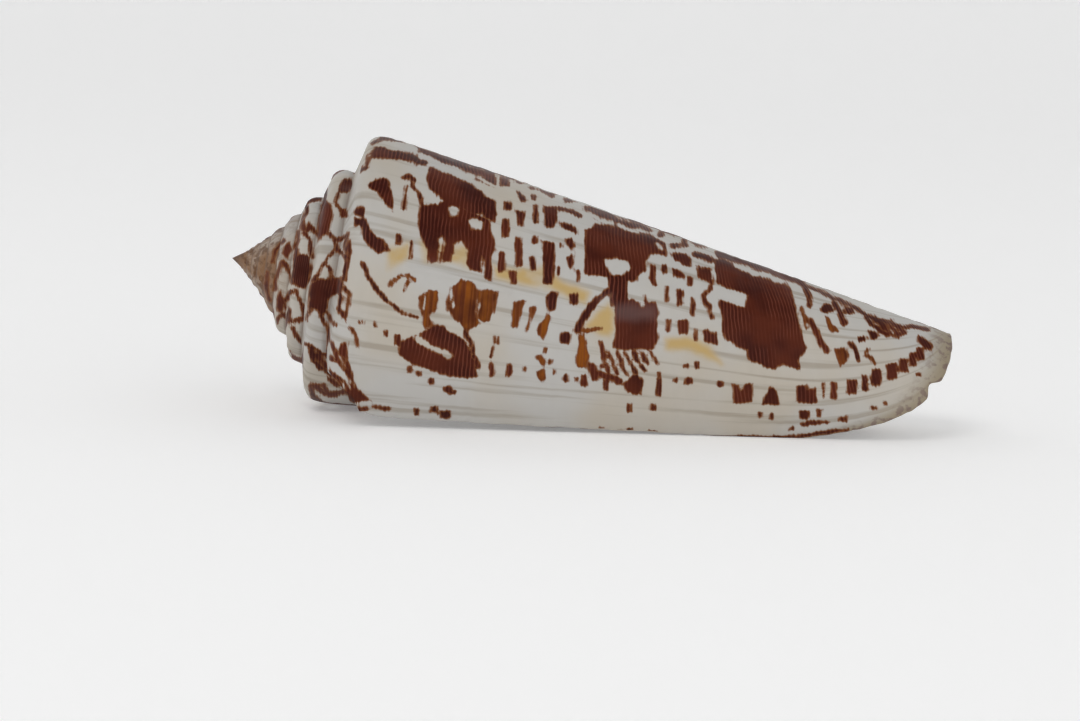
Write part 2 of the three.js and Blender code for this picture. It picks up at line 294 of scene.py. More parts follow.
RIGHT_STROKES = [
    (7, [(719, 254), (738, 260), (758, 267), (780, 275), (799, 281)]),
    (5, [(799, 281), (804, 286), (809, 296), (810, 305)]),
    (4, [(810, 287), (832, 297), (855, 308), (866, 315)]), (6, [(835, 303), (840, 313), (845, 323)]),
    (6, [(810, 321), (816, 330), (820, 341), (827, 351)]), (5, [(851, 343), (855, 350), (858, 360)]),
    (5, [(866, 317), (871, 322), (880, 330), (888, 335)]), (5, [(875, 318), (886, 328), (891, 335)]),
    (5, [(882, 320), (896, 331), (898, 337)]), (5, [(892, 322), (905, 332), (899, 335)]),
    (4, [(866, 315), (880, 320), (892, 323), (902, 327), (917, 327), (929, 330)]),
    (7, [(920, 339), (929, 347)]), (3, [(802, 424), (827, 422)]),
    (4, [(739, 437), (780, 438), (799, 437), (824, 433), (848, 430)]),
]
RUST_BLOTCHES = {
    "left smear": [(417, 297), (429, 290), (438, 292), (437, 308), (430, 316), (434, 326), (424, 328),
        (421, 310)],
    "middle smear": [(450, 287), (461, 280), (474, 283), (480, 293), (476, 308), (480, 324), (467, 331),
        (457, 321), (446, 310), (448, 297)],
    "right smear": [(481, 291), (489, 290), (497, 292), (497, 300), (494, 310), (490, 321), (483, 322),
        (478, 318), (480, 305)],
    "curved bar": [(513, 303), (522, 300), (527, 300), (523, 307), (520, 320), (517, 328), (511, 327),
        (512, 315)],
    "thin bar": [(530, 308), (538, 305), (536, 311), (532, 320), (531, 327), (526, 333), (525, 330),
        (529, 321)],
    "tail": [(548, 312), (551, 317), (548, 327), (543, 341), (538, 336), (537, 330), (540, 323),
        (545, 320)],
    "smoke": [(578, 336), (588, 335), (586, 345), (589, 356), (587, 367), (578, 367), (576, 357),
        (579, 347)],
    "rust spot": [(536, 371), (545, 369), (547, 379), (543, 382), (537, 377)],
    "right fleck": [(825, 317), (830, 320), (836, 327), (838, 332), (832, 332), (827, 328)],
    "brush": [(835, 350), (845, 347), (848, 355), (846, 362), (841, 367), (838, 360)],
}
RUST_STROKES = [
    (3, [(390, 285), (398, 277), (409, 275), (415, 281)]), (3, [(404, 291), (409, 281)]),
    (4, [(801, 308), (804, 317), (806, 328)]), (3, [(867, 350), (866, 355), (871, 358), (874, 363)]),
    (3, [(584, 331), (600, 328)]), (5, [(538, 357), (543, 363)]),
]
WHITE_BLOTCHES = {
    "shoulder oval": [(382, 143), (398, 140), (419, 147), (421, 152), (404, 151), (386, 147)],
    "bridge tent": [(447, 208), (453, 205), (459, 209), (457, 216), (450, 217)],
    "far bridge tent": [(468, 220), (475, 217), (483, 222), (481, 229), (472, 230)],
    "stain window": [(453, 244), (463, 242), (467, 250), (465, 260), (455, 258)],
    "low window": [(440, 238), (444, 234), (446, 244), (442, 254), (438, 252)],
    "middle tent": [(604, 259), (617, 258), (626, 261), (631, 267), (621, 276), (610, 273)],
    "middle gap": [(585, 276), (607, 277), (606, 286), (598, 294), (588, 291)],
    "right tent": [(712, 284), (720, 285), (734, 291), (748, 295), (744, 307), (736, 306), (727, 302),
        (719, 300), (711, 299)],
}
WHITE_AND_HIGHLIGHT_STROKES = [
    (6, [(421, 156), (440, 164), (473, 177)]), (4, [(470, 163), (483, 168)]), (4, [(480, 179), (493, 186)]),
    (5, [(488, 195), (505, 198), (515, 200)]), (5, [(588, 214), (600, 220), (611, 223)]),
    (4, [(618, 225), (638, 233)]), (6, [(736, 265), (757, 273)]), (6, [(762, 274), (782, 282)]),
    # The first stroke on the next line is a painted highlight: a pale streak along the dark oval
    (6, [(417, 339), (430, 347), (450, 356)]), (7, [(588, 337), (594, 352), (599, 362)]),
    (3, [(391, 187), (398, 200)]), (4, [(356, 215), (359, 217)]), (3, [(657, 245), (661, 249)]),
    (2, [(450, 290), (454, 308)]), (2, [(427, 295), (424, 308)]),
    # A painted highlight: a pale line along the healed ridge
    (4, [(442, 267), (461, 271), (482, 279), (494, 286)]),
]
STAINS = {
    "shoulder stain": [(388, 249), (409, 243), (409, 258), (388, 270)],
    "tongue stain": [(420, 242), (452, 244), (470, 246), (470, 268), (452, 262), (424, 262)],
    "ridge stain": [(494, 266), (516, 270), (545, 265), (560, 280), (590, 292), (586, 306), (556, 292),
        (520, 284), (496, 278)],
    "tan triangle": [(609, 303), (615, 315), (614, 327), (609, 336), (601, 335), (592, 330), (584, 330),
        (589, 320), (598, 311)],
    "right stain": [(665, 339), (690, 336), (708, 346), (722, 364), (708, 358), (690, 350), (667, 350)],
}
# Painted reflections: a grey sheen painted into the colour where light glints on the healed ridge and on
# two blotches
PAINTED_SHEEN_PATCHES = {
    "ridge reflection": [(415, 268), (429, 262), (442, 266), (438, 274), (425, 277), (417, 274)],
    "block top": [(614, 306), (630, 304), (656, 306), (657, 318), (630, 321), (615, 318)],
    "olive end": [(600, 297), (610, 295), (611, 302), (602, 304)],
}
THINNEST_STROKE = 4
BROWN_BLOTCHES = [
    outline
    for blotches in (SPIRE_BLOTCHES, SHOULDER_BLOTCHES, MIDDLE_BLOTCHES, RIGHT_BLOTCHES)
    for outline in blotches.values()
]
BROWN_BARS = SHOULDER_BARS + MIDDLE_BARS + RIGHT_BARS
BROWN_STROKES = SPIRE_STROKES + SHOULDER_STROKES + MIDDLE_STROKES + RIGHT_STROKES

# Markings of the side that the camera can't see
ROW_PITCH = 1.45
BAR_HALF_WIDTH = 0.42
BAR_LENGTH = 2.2
BAR_LEVEL = 0.54  # less of the noise than this is bare
BAR_SHIFT = (17.3, 7.7)  # from one row to the next
GAP_LENGTH = 3.2
GAP_LEVEL = 0.80
GAP_SHIFT = (29.1, 5.3)
BLOTCH_LENGTH = 7.0
BLOTCH_WIDTH = 6.0
BLOTCH_LEVEL = 0.59
RAGGED_LENGTH = 1.5
RAGGEDNESS = 0.12
FLAMES = 14  # in a turn
FLAME_LEVEL = 0.58
TURN_LENGTH = 70.0  # about how far round a turn is
POINTS_PER_MM = 11.0
LINES_PER_MM = 2.8

# How the marks lie on the surface, with lengths in points
WANDER = 2.0  # how far an edge strays
WANDER_LENGTH = 6.0
RUST_BLEND = 3.0
STAIN_BLEND = 10.0
PAINTED_SHEEN_BLEND = 14.0
FARTHEST = 30.0  # no place counts as farther from a mark than this
BAR_ROUNDING = 0.45
FACING_FROM = 0.05  # the side that shows starts where it turns this much to the camera
FACING_BLEND = 0.10

# The healed break: a raised line
SCAR_RIDGE = [(408, 268), (440, 273), (480, 283), (508, 291)]
SCAR_HEIGHT = 0.22
SCAR_WIDTH = 3.5

# A small chip out of the lip near the base
CHIP_PLACE = (936, 391)
CHIP_REACH = 13.0
CHIP_DEPTH = 0.5
CHIP_TURNS = 0.2

# Low relief along the spiral and along the growth lines
SPIRAL_RELIEF = 0.10
SPIRAL_PITCH = 0.6
SPIRAL_RUN = 30.0
GROWTH_RELIEF = 0.06
GROWTH_PITCH = 1.1
GROWTH_RUN = 25.0
SPIRE_RIPPLE = 0.5
SPIRE_RIPPLES = 44  # in a turn
RIPPLES_ACROSS = 0.4  # in a row
RIPPLE_TURN = -0.8
RIPPLE_TURNS = 0.4
BEAD_HEIGHT = 0.02  # as a share of the shoulder's radius
BEADS = 19  # in a turn
BEAD_ROWS = 1.2
BEAD_TURN = -4.0
BEAD_TURNS = 1.0
GROOVE_ROWS = 0.5  # how wide the shadowed seam between whorls is
TIP_TURN = -2.6  # the brown of the tip starts here
TIP_TURNS = 1.8
BASE_EDGE = 3.0  # how far the tan edge of the base reaches
LIP_CURVE_POWER = 4  # how sharply the lip's curved edge turns into its straight one
SHORTEST = 0.01  # least distance to the base end, as a share of the lip's rounding
TINY = 1e-9  # keeps a length from being divided by zero

# From this turn back, and from this row on, the lip hides the side of the last whorl
BEHIND_LIP_TURN = -0.6
BEHIND_LIP_ROW = 7

# Areas of the surface's own map, as limits across and down
SPIRE_ACROSS = (0.01, 0.99)
SPIRE_DOWN = (0.32, 0.24)
BODY_ACROSS = (0.01, 0.97)
BODY_DOWN = (0.99, 0.36)
INNER_ACROSS = (0.01, 0.48)
PILLAR_ACROSS = (0.51, 0.95)
INSIDE_DOWN = (0.22, 0.01)
EDGE_ON_MAP = 0.004  # between the lines round the edge of the wall
PILLAR_SEAM = 0.955
DEEP_END = 0.005
DISC_MIDDLE = (0.98, 0.1)
DISC_RADIUS = 0.012
APEX_MAP = [(0.99, 0.2), (0.991, 0.2), (0.991, 0.201)]

# Finish, floor and light, in metres and watts
ROUGHNESS = (0.36, 0.5)
SPECULAR = 0.10
BUMP_STRENGTH = 0.25
BUMP_DEPTH = 0.00006
FLOOR_GAP = 0.00003  # between the worn belly and the floor
FLOOR_FLAT = 0.55
FLOOR_CURVE = 0.6
FLOOR_HEIGHT = 1.6
FLOOR_RINGS = (0.1, 0.25)
FLOOR_STEPS = 16
FLOOR_SIDES = 96
FLOOR_ROUGHNESS = 0.9
FLOOR_GLOW = 0.22
WORLD_LIGHT = 0.34
LIGHT_AIM = (0, 0, 0.012)
LIGHTS = [  # name, place, size and power
    ("key", (-0.25, -0.55, 0.65), 0.4, 1.5),
    ("fill", (0.5, -0.6, 0.3), 0.5, 0.3),
]
NEAREST_VIEW = 0.01

# Colours, linear
WHITE = (0.50, 0.485, 0.46)
CREAM = (0.49, 0.445, 0.38)
CHOCOLATE = (0.040, 0.005, 0.002)
PALE_LINE = (0.14, 0.036, 0.019)
RED_BROWN = (0.085, 0.015, 0.005)
RUST = (0.24, 0.066, 0.005)
FRINGE = (0.20, 0.070, 0.022)
YELLOW_TAN = (0.50, 0.35, 0.15)
# Grey-brown of the real specks on the base edge, and of the painted sheen
SPECK_AND_SHEEN_GREY = (0.16, 0.10, 0.095)
TIP_TAN = (0.23, 0.125, 0.065)
TIP_BROWN = (0.11, 0.05, 0.025)
GROWTH_LINE = (0.30, 0.255, 0.20)
# Painted shade in the seams between whorls
GROOVE_SHADE = (0.17, 0.12, 0.095)
LIP_TAN = (0.30, 0.25, 0.175)
INSIDE = (0.60, 0.57, 0.53)
FLOOR = (0.88, 0.88, 0.88)


def rising_step(x):
    x = np.clip(x, 0, 1)
    return x * x * (3 - 2 * x)


def lerp(a, b, share):
    return a + (b - a) * share


def growth(turn):
    return RADIUS_GROWTH ** turn


def shoulder_radius(turn):
    return SHOULDER_RADIUS * growth(turn)


def shoulder_depth(turn):
    return SHOULDER_DEPTH * growth(turn) ** DEPTH_POWER


def suture_depth(turn):
    return shoulder_depth(turn) - RAMP_RISE * shoulder_radius(turn)


def base_depth(turn):
    lip_cut = LIP_ROUNDING * np.exp(np.minimum(turn, 0) / LIP_ROUNDING_TURNS)
    setback = rising_step((BASE_SETBACK_TURN - turn) / BASE_SETBACK_TURNS)
    return LENGTH - lip_cut - BASE_SETBACK * setback


def side_radius(depth, turn):
    radius = shoulder_radius(turn)
    below = np.maximum(depth - shoulder_depth(turn), 0)
    swelling = 1 + BULGE * (1 - np.exp(-below / (BULGE_REACH * radius)))
    share = np.clip(below / (LENGTH - shoulder_depth(turn)), 0, 1)
    taper = 1 - TAPER * share ** TAPER_POWER
    inward = rising_step((THINNING_TURN - turn) / THINNING_TURNS)
    towards_base = rising_step((share - THINNING_FROM) / (1 - THINNING_FROM))
    return radius * swelling * taper * (1 - COLUMELLA_THINNING * inward * towards_base)


def wall_thickness(turn):
    return lerp(LIP_WALL, WALL, rising_step(-turn / LIP_THICKENING_TURNS))


def outer_row(row, turn):
    """Depth and radius of the outer surface, on rows counted as in the solid."""
    suture = suture_depth(turn)
    shoulder = shoulder_depth(turn)
    next_suture = suture_depth(turn + 1)
    hollow_top = next_suture + wall_thickness(turn + 1)
    base = base_depth(turn)
    ramp = np.clip(row / SHOULDER_ROW, 0, 1)
    side = np.clip((row - SHOULDER_ROW) / (SUTURE_ROW - SHOULDER_ROW), 0, 1)
    edge = np.clip((row - SUTURE_ROW) / (HOLLOW_ROW - SUTURE_ROW), 0, 1)
    body = np.clip((row - HOLLOW_ROW) / (LAST_ROW - HOLLOW_ROW), 0, 1)
    depth = lerp(suture, shoulder, ramp) + side * (next_suture - shoulder)
    depth = depth + edge * (hollow_top - next_suture) + body * (base - hollow_top)
    on_ramp = lerp(side_radius(suture, turn - 1), shoulder_radius(turn), ramp)
    radius = np.where(row < SHOULDER_ROW, on_ramp, side_radius(depth, turn))
    share = np.clip(row / SUTURE_ROW, 0, 1)
    worn = SPIRE_WEAR * rising_step((SPIRE_WEAR_TURN - turn) / SPIRE_WEAR_TURNS) * (row <= SUTURE_ROW)
    straight = lerp(side_radius(suture, turn - 1), side_radius(next_suture, turn), share)
    depth = lerp(depth, lerp(suture, next_suture, share), worn)
    return depth, lerp(radius, straight, worn)


def inner_row(row, turn):
    """Depth and radius of the inner face of the wall behind the lip."""
    depth, radius = outer_row(row, turn)
    wall = wall_thickness(turn)
    facing = rising_step((row + 1) / HOLLOW_ROW)
    depth = np.where(row >= LAST_ROW, depth, depth + wall * (1 - facing))
    open_radius = radius - wall * facing
    closed = np.minimum(open_radius, side_radius(depth, turn - 1) + HOLLOW_END_GAP)
    closing = rising_step((HOLLOW_CLOSING_TURNS - HOLLOW_TURNS - turn) / HOLLOW_CLOSING_TURNS)
    return depth, lerp(open_radius, closed, closing)


def notch_shift(row, turn):
    lip = rising_step(1 + turn / NOTCH_FADE_TURNS)
    lip_rows = 1 - rising_step((row - SHOULDER_ROW) / NOTCH_ROWS)
    under = rising_step(1 - np.abs(turn + 1) / NOTCH_FADE_TURNS)
    under_rows = rising_step(1 - np.abs(row - SUTURE_ROW) / NOTCH_ROWS)
    return -NOTCH_TURNS * (lip * lip_rows + under * under_rows)


def coil_point(depth, radius, turn):
    angle = FULL_TURN * (turn - FRONT_TURN)
    return np.stack([depth, -radius * np.cos(angle), -radius * np.sin(angle)], axis=-1)


def value_noise(x, y, seed):
    """Smooth noise from 0 to 1 with a feature about one unit wide."""
    size = 256
    table = np.random.default_rng(seed).random((size, size))
    column = np.floor(x).astype(int)
    row = np.floor(y).astype(int)
    across = rising_step(x - column)
    down = rising_step(y - row)
    here = table[column % size, row % size]
    right = table[(column + 1) % size, row % size]
    below = table[column % size, (row + 1) % size]
    corner = table[(column + 1) % size, (row + 1) % size]
    return lerp(lerp(here, right, across), lerp(below, corner, across), down)


def with_growth(places, turn, row, inside=0):
    """Places with their turn, their row and whether they are inside the aperture."""
    more = [np.broadcast_to(value, places.shape[:-1]) for value in (turn, row, inside)]
    return np.concatenate([places, np.stack(more, axis=-1)], axis=-1)


def grid(rule, turns, rows, inside=0):
    turn, row = np.meshgrid(turns, rows, indexing="ij")
    turn = turn + notch_shift(row, turn)
    return with_growth(coil_point(*rule(row, turn), turn), turn, row, inside)


def lip_direction():
    """The way that the lip grows, at each of its rows."""
    behind, ahead = grid(outer_row, [-1 / TURN_COLUMNS, 0.0], ALL_ROWS)[..., :3]
    step = ahead - behind
    return step / np.linalg.norm(step, axis=1, keepdims=True)


def map_grid(across, down):
    return np.stack(np.meshgrid(across, down, indexing="ij"), axis=-1)


def body_across(turn):
    return lerp(*BODY_ACROSS, turn + 1)


def body_down(row):
    return lerp(*BODY_DOWN, row / LAST_ROW)


def inside_down(row):
    return lerp(*INSIDE_DOWN, row / LAST_ROW)


class Shell:
    """The shell's mesh as one growing list of vertices and faces, with each face corner's place
    on the surface's own map."""

    def __init__(self):
        self.blocks = []
        self.count = 0
        self.faces = []
        self.maps = []
        self.grow_spire()
        self.grow_last_whorl()
        self.grow_pillar()
        self.grow_lip_edge()
        self.grow_inner_face()
        self.grow_base_edge()
        self.close_ends()

    def table(self):
        return np.concatenate(self.blocks)

    def vertices(self, block):
        self.blocks.append(block.reshape(-1, block.shape[-1]))
        numbers = self.count + np.arange(len(self.blocks[-1])).reshape(block.shape[:-1])
        self.count += numbers.size
        return numbers

    def face(self, corners, spots):
        self.faces.append([int(corner) for corner in corners])
        self.maps.append([list(spot) for spot in spots])

    def sheet(self, numbers, places_on_map):
        """Quads over a grid of vertex numbers, from each column to the next."""
        around = zip(numbers[:-1], numbers[1:], places_on_map[:-1], places_on_map[1:])
        for line, next_line, spot, next_spot in around:
            quads = np.stack([line[:-1], next_line[:-1], next_line[1:], line[1:]], axis=1)
            spots = np.stack([spot[:-1], next_spot[:-1], next_spot[1:], spot[1:]], axis=1)
            self.faces.extend(quads.tolist())
            self.maps.extend(spots.tolist())

    def stitch(self, line, stations, next_line, next_stations, spot, next_spot):
        """Triangles between two lines that have different numbers of vertices."""
        i = 0
        j = 0
        while i + 1 < len(line) or j + 1 < len(next_line):
            step_next = i + 1 == len(line) or (
                j + 1 < len(next_line) and next_stations[j + 1] <= stations[i + 1]
            )
            if step_next:
                corners = [line[i], next_line[j], next_line[j + 1]]
                spots = [spot[i], next_spot[j], next_spot[j + 1]]
                j += 1
            else:
                corners = [line[i], next_line[j], line[i + 1]]
                spots = [spot[i], next_spot[j], spot[i + 1]]
                i += 1
            if len(set(corners)) == 3:
                self.face(corners, spots)

    def rounded_edge(self, outer, inner, outward, turn, row):
        """Lines of vertices round the thickness of the wall, between its two faces."""
        lines = []
        for step in range(1, EDGE_STEPS):
            share = step / EDGE_STEPS
            places = lerp(outer, inner, share) + EDGE_BULGE * math.sin(math.pi * share) * outward
            lines.append(self.vertices(with_growth(places, turn, row)))
        return lines

    def grow_spire(self):
        """Every turn but the last."""
        block = grid(outer_row, SPIRE_TURN, SPIRE_ROWS)
        block[:, SUTURE, :3] = grid(outer_row, SPIRE_TURN + 1, SPIRE_ROWS[:1])[:, 0, :3]
        self.apex = self.vertices(with_growth(np.zeros((1, 3)), FIRST_TURN, 0))[0]
        spire = np.empty(block.shape[:2], dtype=int)
        spire[:, 1:] = self.vertices(block[:, 1:])
        spire[:TURN_COLUMNS, 0] = self.apex
        spire[TURN_COLUMNS:, 0] = spire[:-TURN_COLUMNS, SUTURE]
        size = (growth(SPIRE_TURN) - growth(FIRST_TURN)) / (growth(-1) - growth(FIRST_TURN))
        spots = map_grid(lerp(*SPIRE_ACROSS, size), lerp(*SPIRE_DOWN, SPIRE_ROWS / SUTURE_ROW))
        self.sheet(spire[:, 1:], spots[:, 1:])
        self.sheet(spire[TURN_COLUMNS - 1:, :2], spots[TURN_COLUMNS - 1:, :2])
        for column in range(TURN_COLUMNS - 1):
            self.face([self.apex, spire[column + 1, 1], spire[column, 1]],
                      spots[[column, column + 1, column], [0, 1, 1]])
        self.spire = spire

    def grow_last_whorl(self):
        """The last turn, with finer columns near the lip."""
        block = grid(outer_row, BODY_TURN, ALL_ROWS)
        body = np.empty(block.shape[:2], dtype=int)
        body[0, :SUTURE + 1] = self.spire[-1]
        body[0, SUTURE + 1:] = self.vertices(block[0, SUTURE + 1:])
        body[1:, 1:] = self.vertices(block[1:, 1:])
        spots = map_grid(body_across(BODY_TURN), body_down(ALL_ROWS))
        self.sheet(body[:, 1:], spots[:, 1:])
        seam = self.spire[-TURN_COLUMNS - 1:, SUTURE]
        seam_spots = map_grid(body_across(COARSE_TURN), body_down(ALL_ROWS[:1]))[:, 0]
        body[0, 0] = seam[0]
        body[-1, 0] = seam[-1]
        self.stitch(body[:, 1], BODY_TURN, seam, COARSE_TURN, spots[:, 1], seam_spots)
        self.body = body

    def grow_pillar(self):
        """The pillar inside the aperture, which the last whorl joins."""
        pillar = self.vertices(grid(outer_row, PILLAR_TURN, PILLAR_ROWS, 1))
        across = lerp(*PILLAR_ACROSS, (PILLAR_TURN - PILLAR_TURN[0]) / HOLLOW_TURNS)
        spots = map_grid(across, inside_down(PILLAR_ROWS))
        self.sheet(pillar, spots)
        seam_spots = map_grid([PILLAR_SEAM], inside_down(BODY_ROWS))[0]
        self.stitch(pillar[-1], PILLAR_ROWS, self.body[0, HOLLOW:], BODY_ROWS, spots[-1], seam_spots)
        self.pillar = pillar

    def grow_lip_edge(self):
        """The rounded edge of the lip."""
        outer = self.table()[self.body[-1, 1:], :3]
        inner = grid(inner_row, [0.0], ALL_ROWS[1:])[0, :, :3]
        lines = self.rounded_edge(outer, inner, lip_direction()[1:], 0.0, ALL_ROWS[1:])
        joints = self.body[0, SUTURE + 1:HOLLOW]
        self.lip_lines = [self.body[-1]]
        self.lip_lines += [np.concatenate([[joint], line]) for joint, line in zip(joints, lines)]
        across = body_across(0) + EDGE_ON_MAP * np.arange(EDGE_STEPS + 1)
        spots = map_grid(across, body_down(ALL_ROWS))
        self.sheet(np.array(self.lip_lines), spots[:-1])
        self.lip_spots = spots[-2]
        self.inner_lip_spots = map_grid(across[-1:], body_down(INNER_ROWS))[0]

    def grow_inner_face(self):
        """The inner face of the last whorl's wall."""
        block = grid(inner_row, HOLLOW_TURN, INNER_ROWS, 1)
        inner = np.empty(block.shape[:2], dtype=int)
        inner[:-1, 0] = self.pillar[:, 0]
        inner[-1, 0] = self.body[0, HOLLOW]
        inner[:, 1:] = self.vertices(block[:, 1:])
        across = lerp(*INNER_ACROSS, (HOLLOW_TURN + HOLLOW_TURNS) / HOLLOW_TURNS)
        self.inner_spots = map_grid(across, inside_down(INNER_ROWS))
        self.sheet(inner[::-1], self.inner_spots[::-1])
        self.stitch(self.lip_lines[-1], ALL_ROWS, inner[-1], INNER_ROWS,
                    self.lip_spots, self.inner_lip_spots)
        self.inner = inner

    def grow_base_edge(self):
        """The rounded edge of the base, where the hollow is behind it."""
        turn = BODY_TURN[BEFORE_HOLLOW:]
        first = self.body[BEFORE_HOLLOW:, -1]
        outer = self.table()[first[:-1], :3]
        inner = grid(inner_row, turn[:-1], [float(LAST_ROW)])[:, 0, :3]
        lines = self.rounded_edge(outer, inner, np.array([1.0, 0.0, 0.0]), turn[:-1], LAST_ROW)
        ends = [line[-1] for line in self.lip_lines[1:]]
        self.base_lines = [first]
        self.base_lines += [np.concatenate([line, [end]]) for line, end in zip(lines, ends)]
        down = body_down(LAST_ROW) - EDGE_ON_MAP * np.arange(EDGE_STEPS + 1)
        spots = map_grid(body_across(turn), down)
        self.sheet(np.array(self.base_lines).T, spots[:, :-1])
        inner_spots = map_grid(body_across(HOLLOW_TURN), down[-1:])[:, 0]
        self.stitch(self.inner[:, -1], HOLLOW_TURN, self.base_lines[-1], turn, inner_spots, spots[:, -2])

    def close_ends(self):
        """The deep end of the hollow, the end of the pillar and the start of the first turn."""
        deep_spots = map_grid([DEEP_END], inside_down(PILLAR_ROWS))[0]
        self.stitch(self.inner[0], np.maximum(INNER_ROWS, HOLLOW_ROW), self.pillar[0], PILLAR_ROWS,
                    self.inner_spots[0], deep_spots)
        first = PILLAR_TURN[0]
        crown = np.array([[base_depth(first) + PILLAR_CROWN, 0.0, 0.0]])
        tip = self.vertices(with_growth(crown, first, LAST_ROW, 1))[0]
        rim = np.concatenate([self.pillar[:, -1], self.body[:BEFORE_HOLLOW + 1, -1],
                              [line[0] for line in self.base_lines[1:]],
                              self.inner[:1, -1], self.pillar[:1, -1]])
        angle = np.linspace(0, FULL_TURN, len(rim))
        disc = DISC_MIDDLE + DISC_RADIUS * np.stack([np.cos(angle), np.sin(angle)], axis=1)
        for i in range(len(rim) - 1):
            self.face([tip, rim[i], rim[i + 1]], [DISC_MIDDLE, disc[i], disc[i + 1]])
        for row in range(1, SUTURE):
            self.face([self.apex, self.spire[0, row], self.spire[0, row + 1]], APEX_MAP)


class Rest:
    """Where the coil lies on the surface: tilted, with its lowest points worn flat."""

    def __init__(self, places):
        self.turned = Matrix.Rotation(REST_TILT, 3, "Y")
        laid = places @ np.array(self.turned).T
        low = laid.min(axis=0)
        high = laid.max(axis=0)
        self.origin = np.array([(low[0] + high[0]) / 2, (low[1] + high[1]) / 2, low[2] + WORN_DEPTH])

    def point(self, places):
        return places @ np.array(self.turned).T - self.origin

    def direction(self, vector):
        return np.array(self.turned @ Vector(vector))


class View:
    """The camera's place and axes in millimetres."""

    def __init__(self, rest):
        lean = FULL_TURN * (VIEW_TURN - FRONT_TURN)
        towards = (0.0, -math.cos(lean), -math.sin(lean))
        upright = (0.0, -math.sin(lean), math.cos(lean))
        cos_roll = math.cos(VIEW_ROLL)
        sin_roll = math.sin(VIEW_ROLL)
        self.back = rest.direction(towards)
        self.right = rest.direction((cos_roll, sin_roll * upright[1], sin_roll * upright[2]))
        self.up = rest.direction((-sin_roll, cos_roll * upright[1], cos_roll * upright[2]))
        aim = rest.point(np.array([VIEW_DEPTH, 0.0, 0.0]))
        aim = aim + VIEW_RIGHT * self.right + VIEW_UP * self.up
        self.place = aim + VIEW_DISTANCE * self.back

    def seen(self, points):
        """Places of points in the camera's frame."""
        ray = points - self.place
        far = -ray @ self.back
        scale = FRAME_WIDTH * LENS / SENSOR / far
        x = FRAME_WIDTH / 2 + (ray @ self.right) * scale
        y = FRAME_HEIGHT / 2 - (ray @ self.up) * scale
        return np.stack([x, y], axis=-1)

    def facing(self, points, normals):
        ray = self.place - points
        ray = ray / np.linalg.norm(ray, axis=1, keepdims=True)
        return (ray * normals).sum(axis=1)


def stroke_reach(places, points, width):
    """How far inside a stroke each place is, negative outside it."""
    nearest = np.full(len(places), np.inf)
    for start, end in zip(points[:-1], points[1:]):
        start = np.array(start, dtype=float)
        along = np.array(end, dtype=float) - start
        share = np.clip((places - start) @ along / (along @ along), 0, 1)
        gap = np.linalg.norm(places - start - share[:, None] * along, axis=1)
        nearest = np.minimum(nearest, gap)
    return width / 2 - nearest


def blotch_reach(places, outline):
    """How far inside an outline each place is, negative outside it."""
    edge = -stroke_reach(places, outline + outline[:1], 0)
    inside = np.zeros(len(places), dtype=bool)
    for (x0, y0), (x1, y1) in zip(outline, outline[1:] + outline[:1]):
        if y0 == y1:
            continue
        crosses = (y0 > places[:, 1]) != (y1 > places[:, 1])
        inside ^= crosses & (places[:, 0] < x0 + (x1 - x0) * (places[:, 1] - y0) / (y1 - y0))
    return np.where(inside, edge, -edge)


def bar_reach(places, bar):
    """How far inside a box with rounded corners each place is, negative outside it."""
    low = np.array(bar[:2], dtype=float)
    high = np.array(bar[2:], dtype=float)
    half = (high - low) / 2
    corner = BAR_ROUNDING * half.min()
    over = np.abs(places - (low + high) / 2) - half + corner
    outside = np.linalg.norm(np.maximum(over, 0), axis=1)
    return corner - outside - np.minimum(over.max(axis=1), 0)


def mark_reaches(places, blotches, bars, strokes, thinnest=0):
    for outline in blotches:
        yield blotch_reach(places, outline)
    for bar in bars:
        yield bar_reach(places, bar)
    for width, points in strokes:
        yield stroke_reach(places, points, max(width, thinnest))


def blurred_cover(places, outlines, blend):
    cover = np.zeros(len(places))
    for outline in outlines.values():
        cover = np.maximum(cover, rising_step(blotch_reach(places, outline) / blend + 0.5))
    return cover


def seen_markings(places):
    """Reach of the brown marks, and shares of rust, stain and painted sheen, on the side that shows."""
    x, y = places.T / WANDER_LENGTH
    wander = np.stack([value_noise(x, y, seed=3), value_noise(x, y, seed=4)], axis=1)
    places = places + WANDER * (wander - 0.5)
    brown = np.full(len(places), -FARTHEST)
    rust = np.zeros(len(places))
    rusty = mark_reaches(places, RUST_BLOTCHES.values(), [], RUST_STROKES, THINNEST_STROKE)
    plain = mark_reaches(places, BROWN_BLOTCHES, BROWN_BARS, BROWN_STROKES, THINNEST_STROKE)
    for is_rust, reaches in ((1.0, rusty), (0.0, plain)):
        for reach in reaches:
            rust = lerp(rust, is_rust, rising_step(reach / RUST_BLEND + 0.5))
            brown = np.maximum(brown, reach)
    for reach in mark_reaches(places, WHITE_BLOTCHES.values(), [], WHITE_AND_HIGHLIGHT_STROKES):
        brown = np.minimum(brown, -reach)
    stain = blurred_cover(places, STAINS, STAIN_BLEND)
    painted_sheen = blurred_cover(places, PAINTED_SHEEN_PATCHES, PAINTED_SHEEN_BLEND)
    return np.clip(brown, -FARTHEST, FARTHEST), rust, stain, painted_sheen


